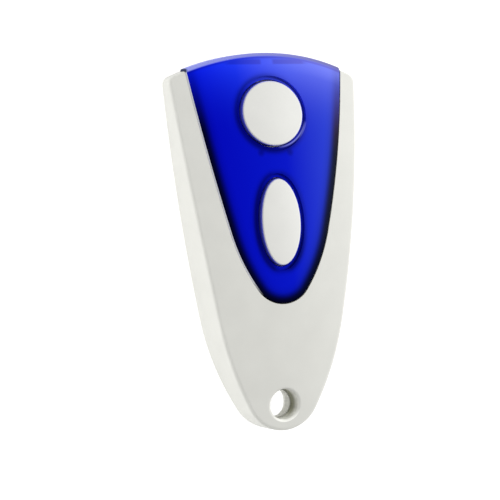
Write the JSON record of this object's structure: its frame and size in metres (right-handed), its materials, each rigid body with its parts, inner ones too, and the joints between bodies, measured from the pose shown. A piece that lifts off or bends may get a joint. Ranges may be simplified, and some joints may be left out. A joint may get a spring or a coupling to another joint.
{
  "type": "garage door remote",
  "caption": "Shield-shaped key-ring garage door remote: white case, blue front cover, round and oval press buttons, keyring hole.",
  "frame": {"origin": "middle of the outline, on the flat back that the remote lies on", "axes": "+Z out of the face, +Y towards the wide end, +X to the right as one looks at the face"},
  "size_m": [0.0374, 0.0696, 0.011],
  "materials": {
    "white_plastic": "fine satin moulded surface",
    "blue_plastic": "polished translucent blue",
    "button_plastic": "fine satin moulded surface",
    "board_laminate": "solder mask",
    "copper": "printed copper",
    "switch_plastic": "moulded nylon",
    "spring_steel": "bright rolled sheet",
    "tinned_metal": "tinned",
    "lamp_resin": "clear resin",
    "chip_epoxy": "moulded epoxy",
    "ceramic": "fired ceramic",
    "dark_ceramic": "fired ceramic",
    "cell_steel": "plated steel",
    "gasket_plastic": "moulded",
    "lithium": "soft metal",
    "separator_felt": "non-woven felt",
    "cathode_mix": "pressed powder",
    "screw_steel": "zinc plated"
  },
  "bodies": {
    "housing": {"front_shell": "white_plastic", "rear_cover": "white_plastic", "lens_cover": "blue_plastic", "circuit_board": "board_laminate", "loop_antenna": "copper", "round_switch_base": "switch_plastic", "oval_switch_base": "switch_plastic", "round_switch_dome": "spring_steel", "oval_switch_dome": "spring_steel", "battery_clip": "spring_steel", "battery_contact": "spring_steel", "round_switch_cover": "tinned_metal", "oval_switch_cover": "tinned_metal", "switch_terminals": "tinned_metal", "encoder_chip_pins": "tinned_metal", "rf_transistor_pins": "tinned_metal", "chip_ends": "tinned_metal", "saw_resonator_lid": "tinned_metal", "status_led": "lamp_resin", "encoder_chip": "chip_epoxy", "rf_transistor": "chip_epoxy", "saw_resonator_base": "ceramic", "chip_capacitors": "ceramic", "chip_resistors": "dark_ceramic", "chip_inductors": "dark_ceramic", "coin_cell_can": "cell_steel", "coin_cell_cap": "cell_steel", "coin_cell_gasket": "gasket_plastic", "cell_anode": "lithium", "cell_separator": "separator_felt", "cell_cathode": "cathode_mix", "housing_screw": "screw_steel"},
    "round_button": {"round_button": "button_plastic"},
    "oval_button": {"oval_button": "button_plastic"},
    "round_stem": {"round_switch_stem": "switch_plastic"},
    "oval_stem": {"oval_switch_stem": "switch_plastic"}
  },
  "joints": [
    {"name": "round_button_press", "type": "slide", "parent": "housing", "child": "round_button", "axis": [0, 0, -1], "range_m": [0, 0.0003], "stiffness_N_per_m": 1500, "springref_m": -0.0005},
    {"name": "round_stem_press", "type": "slide", "parent": "housing", "child": "round_stem", "axis": [0, 0, -1], "range_m": [0, 0.0003], "deforming": ["round_switch_dome"]},
    {"name": "oval_button_press", "type": "slide", "parent": "housing", "child": "oval_button", "axis": [0, 0, -1], "range_m": [0, 0.0003], "stiffness_N_per_m": 1500, "springref_m": -0.0005},
    {"name": "oval_stem_press", "type": "slide", "parent": "housing", "child": "oval_stem", "axis": [0, 0, -1], "range_m": [0, 0.0003], "deforming": ["oval_switch_dome"]}
  ],
  "couplings": [
    {"joint": "round_stem_press", "follows": "round_button_press", "ratio": 1},
    {"joint": "oval_stem_press", "follows": "oval_button_press", "ratio": 1}
  ]
}
